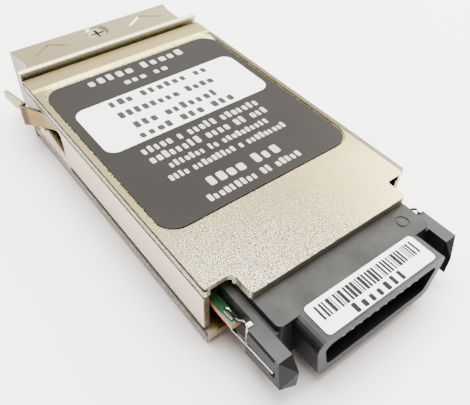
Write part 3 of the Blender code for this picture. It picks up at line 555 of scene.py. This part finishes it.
def connector_plastic():
    """Black glass-filled plastic: lighter on its top as painted light with a little dust, lighter on its arm
    tops and rim as painted light, and darker on its arm sides and arm tips as painted shade.
    """
    n = Nodes("connector_plastic")
    y, z = n.part("Y"), n.part("Z")
    upright = n.normal("Z")
    cloud = n.span(n.noise(160.0, 4.0, 0.6), 0.3, 0.7)
    tone = n.mix(cloud, (0.0030, 0.0033, 0.0045), (0.0050, 0.0054, 0.0068))

    # Painted light and shade on the arms: lighter tops, darker sides, darkest towards the tips.
    arm = n.rise(n.unsigned(n.part("X")), ARM_INNER - 0.1, ARM_INNER + 0.1)
    arm_side_shade = n.mix(cloud, (0.0075, 0.0073, 0.0073), (0.0115, 0.0111, 0.0110))
    arm_side_shade = n.mix(n.rise(y, ARM_TIP + 0.2, ARM_TIP), arm_side_shade, (0.0030, 0.0030, 0.0032))
    arm_top_lit = n.mix(cloud, (0.036, 0.0361, 0.0352), (0.050, 0.0501, 0.0485))
    tone = n.mix(arm, tone, n.mix(n.span(upright, 0.6, 0.9), arm_side_shade, arm_top_lit))
    # Painted light on the rim round the mouth.
    rim_lit = n.mix(cloud, (0.012, 0.0115, 0.0112), (0.019, 0.0183, 0.0178))
    tone = n.mix(n.rise(y, CONNECTOR_END + 0.13, CONNECTOR_END + 0.05), tone, rim_lit)

    # Painted light on the top that faces up, in uneven patches.
    top = n.both(n.span(upright, 0.7, 0.95), n.rise(z, SHELF_TOP - 0.2, SHELF_TOP))
    top = n.both(top, n.span(arm, 0.0, 1.0, 1.0, 0.0))
    lit_top_cloud = n.span(n.noise(300.0, 4.0, 0.65), 0.35, 0.7)
    tone = n.mix(top, tone, n.mix(lit_top_cloud, (0.026, 0.0262, 0.0246), (0.043, 0.0432, 0.0407)))
    dust = n.span(n.noise(1500.0, 4.0, 0.7), 0.62, 0.8)
    n.color(n.mix(n.both(dust, n.both(top, 0.4)), tone, (0.09, 0.09, 0.085)))
    texture = n.noise(4200.0, 3.0, 0.6)
    n.rough(n.span(texture, 0.3, 0.7, 0.34, 0.48))
    n.gloss(0.08)
    n.bump(texture, 0.3, 0.02)
    return n.material


def laminate():
    """Green lacquer with copper tracks under it, and a bare reddish-brown cut edge."""
    n = Nodes("laminate")
    weave = n.noise(2200.0, 2.0)
    tracks = n.span(n.cell_edges(520.0, n.scaled((1.0, 0.35, 0.1))), 0.05, 0.09, 1.0, 0.0)
    green = n.mix(tracks, (0.006, 0.055, 0.014), (0.018, 0.115, 0.03))
    green = n.mix(n.both(n.span(weave, 0.45, 0.75), 0.4), green, (0.014, 0.085, 0.026))
    edge = n.mix(n.span(n.noise(1800.0, 3.0), 0.35, 0.65), (0.32, 0.10, 0.065), (0.48, 0.19, 0.12))
    n.color(n.mix(n.span(n.unsigned(n.normal("Z")), 0.4, 0.6), edge, green))
    n.rough(n.span(weave, 0.3, 0.7, 0.3, 0.45))
    n.bump(tracks, 0.3, 0.03)
    return n.material


def print_film():
    """The product label's dark film, with a faint speck in its ink."""
    n = Nodes("label_print")
    fine = n.noise(5200.0, 3.0, 0.7)
    tone = n.mix(n.span(n.noise(110.0, 3.0), 0.3, 0.7), (0.0090, 0.0080, 0.0068), (0.0120, 0.0107, 0.0090))
    n.color(n.mix(n.both(n.span(fine, 0.58, 0.75), 0.30), tone, (0.042, 0.038, 0.033)))
    n.rough(n.span(fine, 0.3, 0.7, 0.42, 0.55))
    n.gloss(0.13)
    n.bump(n.noise(500.0, 3.0), 0.15, 0.02)
    return n.material


def paper(name, low, high, rough=0.5, gloss=0.5):
    """Coated paper, or ink on it."""
    n = Nodes(name)
    fine = n.noise(4200.0, 3.0, 0.6)
    n.color(n.mix(n.span(fine, 0.3, 0.75), high, low))
    n.rough(n.span(fine, 0.3, 0.7, rough - 0.05, rough + 0.08))
    n.gloss(gloss)
    n.bump(fine, 0.12, 0.01)
    return n.material


# CAD pieces and what they are made of -------------------------------------------------------------

BEVEL_ANGLE = 32


def dress(names, mat, bevel=None, segments=2):
    """Gives CAD pieces their material, and softens their edges by a small bevel."""
    for name in names:
        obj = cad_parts[name]
        for slot in obj.material_slots:
            slot.material = mat
        if bevel:
            edge = obj.modifiers.new("edges", "BEVEL")
            edge.width = bevel * MM
            edge.segments = segments
            edge.limit_method = "ANGLE"
            edge.angle_limit = radians(BEVEL_ANGLE)
            edge.use_clamp_overlap = True
            edge.harden_normals = False


def pair(name):
    return [f"{name}_left", f"{name}_right"]


def dress_case():
    dress(["top_cover"], nickel_grain(), bevel=0.16, segments=3)
    dress(["bottom_cover"], nickel_base(), bevel=0.12)
    dress(["chassis"], nickel_casting(), bevel=0.12, segments=3)
    screw = sheet_steel("screw_steel", (0.20, 0.185, 0.145), (0.62, 0.58, 0.48), rough=0.20)
    dress(["bezel_screw"], screw, bevel=0.06)
    dress(pair("latch"), latch_steel(), bevel=0.06)
    pins = sheet_steel("pin_steel", (0.78, 0.56, 0.20), (0.92, 0.70, 0.30), rough=0.22)
    dress(pair("latch_pin"), pins, bevel=0.04)
    dress(["product_label"], print_film())
    dress(["barcode_label"], paper("label_paper", (0.80, 0.80, 0.78), (0.88, 0.88, 0.87)))


def dress_connector():
    dress(["connector_body"], connector_plastic(), bevel=0.10, segments=3)
    strips = sheet_steel("ground_steel", (0.30, 0.285, 0.26), (0.84, 0.82, 0.79), rough=0.22)
    dress(pair("ground_strip"), strips)
    wires = sheet_steel("wire_tin", (0.10, 0.092, 0.08), (0.52, 0.50, 0.46), rough=0.20)
    dress(pair("ground_wire"), wires)
    contacts = [f"contact_{row}_{i:02d}" for row in ("upper", "lower") for i in range(1, 11)]
    dress(contacts, sheet_steel("contact_plate", (0.30, 0.27, 0.205), (0.52, 0.47, 0.37), rough=0.26))


def dress_ports():
    ports = moulded("port_plastic", (0.025, 0.028, 0.032), (0.035, 0.038, 0.043))
    dress(["sc_receptacle"], ports, bevel=0.08)
    clips = moulded("clip_plastic", (0.66, 0.62, 0.52), (0.74, 0.71, 0.61))
    dress(pair("sc_clip"), clips, bevel=0.06)
    sleeves = moulded("ceramic", (0.78, 0.77, 0.72), (0.85, 0.84, 0.80), rough=0.2, grain=0.08)
    dress(pair("ferrule_sleeve"), sleeves, bevel=0.04)
    gold = sheet_steel("gold_plate", (0.72, 0.54, 0.22), (0.86, 0.68, 0.34), rough=0.28)
    dress(["transmitter_optics", "receiver_optics"], gold, bevel=0.04)
    clamp = sheet_steel("clamp_steel", (0.5, 0.5, 0.49), (0.62, 0.61, 0.6), rough=0.25)
    dress(["optics_clamp"], clamp, bevel=0.04)


def dress_board():
    dress(["circuit_board"], laminate())
    epoxy = moulded("chip_epoxy", (0.022, 0.022, 0.023), (0.034, 0.034, 0.035), rough=0.5)
    dress(["laser_driver_chip", "post_amplifier_chip", "memory_chip"], epoxy, bevel=0.05)
    trimmers = moulded("trimmer_case", (0.03, 0.10, 0.34), (0.05, 0.15, 0.44))
    dress(["trimmer_bias", "trimmer_modulation"], trimmers, bevel=0.05)
    capacitors = moulded("capacitor_case", (0.58, 0.36, 0.06), (0.70, 0.46, 0.10))
    dress(pair("tantalum_capacitor"), capacitors, bevel=0.06)
    ferrite = moulded("ferrite", (0.07, 0.07, 0.075), (0.11, 0.11, 0.115), rough=0.5)
    dress(pair("choke"), ferrite, bevel=0.06)


# Print on the labels ------------------------------------------------------------------------------

SHARP_ANGLE = 35
INK = 0.02
INK_GAP = 0.001
WORD_SPACE = 0.8
LABEL_STROKE = (0.52, 0.74)
SERIAL_STROKE = (0.42, 0.56)

# Each line of print: its middle, half its width, its base, its height and the blocks in each word.
LIGHT_LINES = (
    (0.2, 8.2, 17.1, 1.55, (5, 5)),
    (0.3, 3.8, 14.8, 1.2, (3, 2)),
    (0.0, 9.4, 0.0, 1.4, (5, 1, 5, 7)),
    (0.0, 9.4, -2.0, 1.4, (8, 4, 2, 3)),
    (0.0, 7.9, -3.95, 1.1, (7, 2, 10)),
    (0.0, 9.2, -5.95, 1.1, (4, 9, 1, 9)),
    (-0.1, 5.7, -9.4, 1.7, (4, 3)),
    (-0.2, 7.2, -11.5, 1.15, (9, 2, 5)),
)
DARK_LINES = (
    (0.3, 8.3, 10.95, 1.5, (3, 6, 2)),
    (-0.2, 7.9, 8.1, 1.45, (8, 4)),
    (-0.5, 6.9, 5.2, 1.6, (3, 7)),
    (-0.1, 7.8, 3.0, 1.35, (4, 3, 3)),
)
SERIAL_LINE = (0.0, 4.0, -31.9, 1.2, (7,))
PANEL = ((-13.0, 13.2), (2.4, 12.9))
PANEL_CORNER = 1.6

BAR_START = -7.3
BAR_END = 7.2
BAR_REACH = (-30.5, -28.7)
BAR_SINK = 0.01
BAR_RISE = 0.015
BAR_WIDTHS = (0.14, 0.22, 0.30, 0.30, 0.44)
BAR_GAPS = (0.13, 0.13, 0.22, 0.30)


def piece(name, bm, mat):
    bmesh.ops.recalc_face_normals(bm, faces=bm.faces)
    mesh = bpy.data.meshes.new(name)
    bm.to_mesh(mesh)
    bm.free()
    mesh.materials.append(mat)
    for polygon in mesh.polygons:
        polygon.use_smooth = True
    mesh.set_sharp_from_angle(angle=radians(SHARP_ANGLE))
    obj = bpy.data.objects.new(name, mesh)
    bpy.context.collection.objects.link(obj)
    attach(obj, BODY)


def add_box(bm, x, y, z):
    middle = Vector([(a + b) / 2 for a, b in (x, y, z)]) * MM
    made = bmesh.ops.create_cube(bm, size=1)["verts"]
    bmesh.ops.scale(bm, vec=[(b - a) * MM for a, b in (x, y, z)], verts=made)
    bmesh.ops.translate(bm, vec=middle, verts=made)


def add_plate(bm, outline, low, high):
    """A flat outline in X and Y, made solid from low to high."""
    bottom = [bm.verts.new((x * MM, y * MM, low * MM)) for x, y in outline]
    face = bm.faces.new(bottom)
    raised = bmesh.ops.extrude_face_region(bm, geom=[face])["geom"]
    verts = [v for v in raised if isinstance(v, bmesh.types.BMVert)]
    bmesh.ops.translate(bm, vec=(0, 0, (high - low) * MM), verts=verts)


def rounded_box(x, y, radius, steps=6):
    points = []
    corner_starts = ((x[1], y[1], 0), (x[0], y[1], 90), (x[0], y[0], 180), (x[1], y[0], 270))
    for corner_x, corner_y, start in corner_starts:
        middle_x = corner_x - radius if corner_x == x[1] else corner_x + radius
        middle_y = corner_y - radius if corner_y == y[1] else corner_y + radius
        for step in range(steps + 1):
            angle = radians(start + 90 * step / steps)
            points.append((middle_x + radius * cos(angle), middle_y + radius * sin(angle)))
    return points


def print_line(bm, rng, line, z, stroke):
    """One line of print shown as plain upright blocks that spell nothing."""
    middle, half_width, base, height, words = line
    step = 2 * half_width / (sum(words) + (len(words) - 1) * WORD_SPACE)
    x = middle - half_width
    for count in words:
        for _ in range(count):
            tall = height * rng.choice((1.0, 0.74, 0.74, 0.9))
            wide = step * rng.uniform(*stroke)
            outline = rounded_box((x, x + wide), (base, base + tall), min(wide, tall) * 0.25, 2)
            add_plate(bm, outline, z, z + INK)
            x += step
        x += step * WORD_SPACE


def product_print():
    """The product label's light panel, the light print on its film and the dark print on the panel."""
    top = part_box("product_label")[1][2] / MM
    rng = random.Random(4)
    panel = bmesh.new()
    add_plate(panel, rounded_box(*PANEL, PANEL_CORNER), top + INK_GAP, top + INK)
    panel_ink = paper("panel_print", (0.80, 0.79, 0.77), (0.86, 0.855, 0.84))
    piece("label_panel", panel, panel_ink)
    light = bmesh.new()
    for line in LIGHT_LINES:
        print_line(light, rng, line, top + INK_GAP, LABEL_STROKE)
    light_ink = paper("light_print", (0.33, 0.322, 0.30), (0.46, 0.45, 0.42))
    piece("label_light_print", light, light_ink)
    dark = bmesh.new()
    for line in DARK_LINES:
        print_line(dark, rng, line, top + INK - INK_GAP, LABEL_STROKE)
    dark_ink = paper("dark_print", (0.022, 0.021, 0.019), (0.036, 0.034, 0.031), rough=0.6, gloss=0.1)
    piece("label_dark_print", dark, dark_ink)


def barcode_print():
    """Bars of random widths, which encode nothing, over one line of print."""
    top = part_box("barcode_label")[1][2] / MM
    rng = random.Random(11)
    bars = bmesh.new()
    x = BAR_START
    while x < BAR_END:
        width = rng.choice(BAR_WIDTHS)
        add_box(bars, (x, x + width), BAR_REACH, (top - BAR_SINK, top + BAR_RISE))
        x += width + rng.choice(BAR_GAPS)
    print_line(bars, rng, SERIAL_LINE, top + INK_GAP, SERIAL_STROKE)
    black_ink = paper("black_print", (0.006, 0.006, 0.0062), (0.012, 0.012, 0.0123), rough=0.6, gloss=0.1)
    piece("barcode_print", bars, black_ink)


def build():
    camera()
    studio()
    dress_case()
    dress_connector()
    dress_ports()
    dress_board()
    product_print()
    barcode_print()


build()
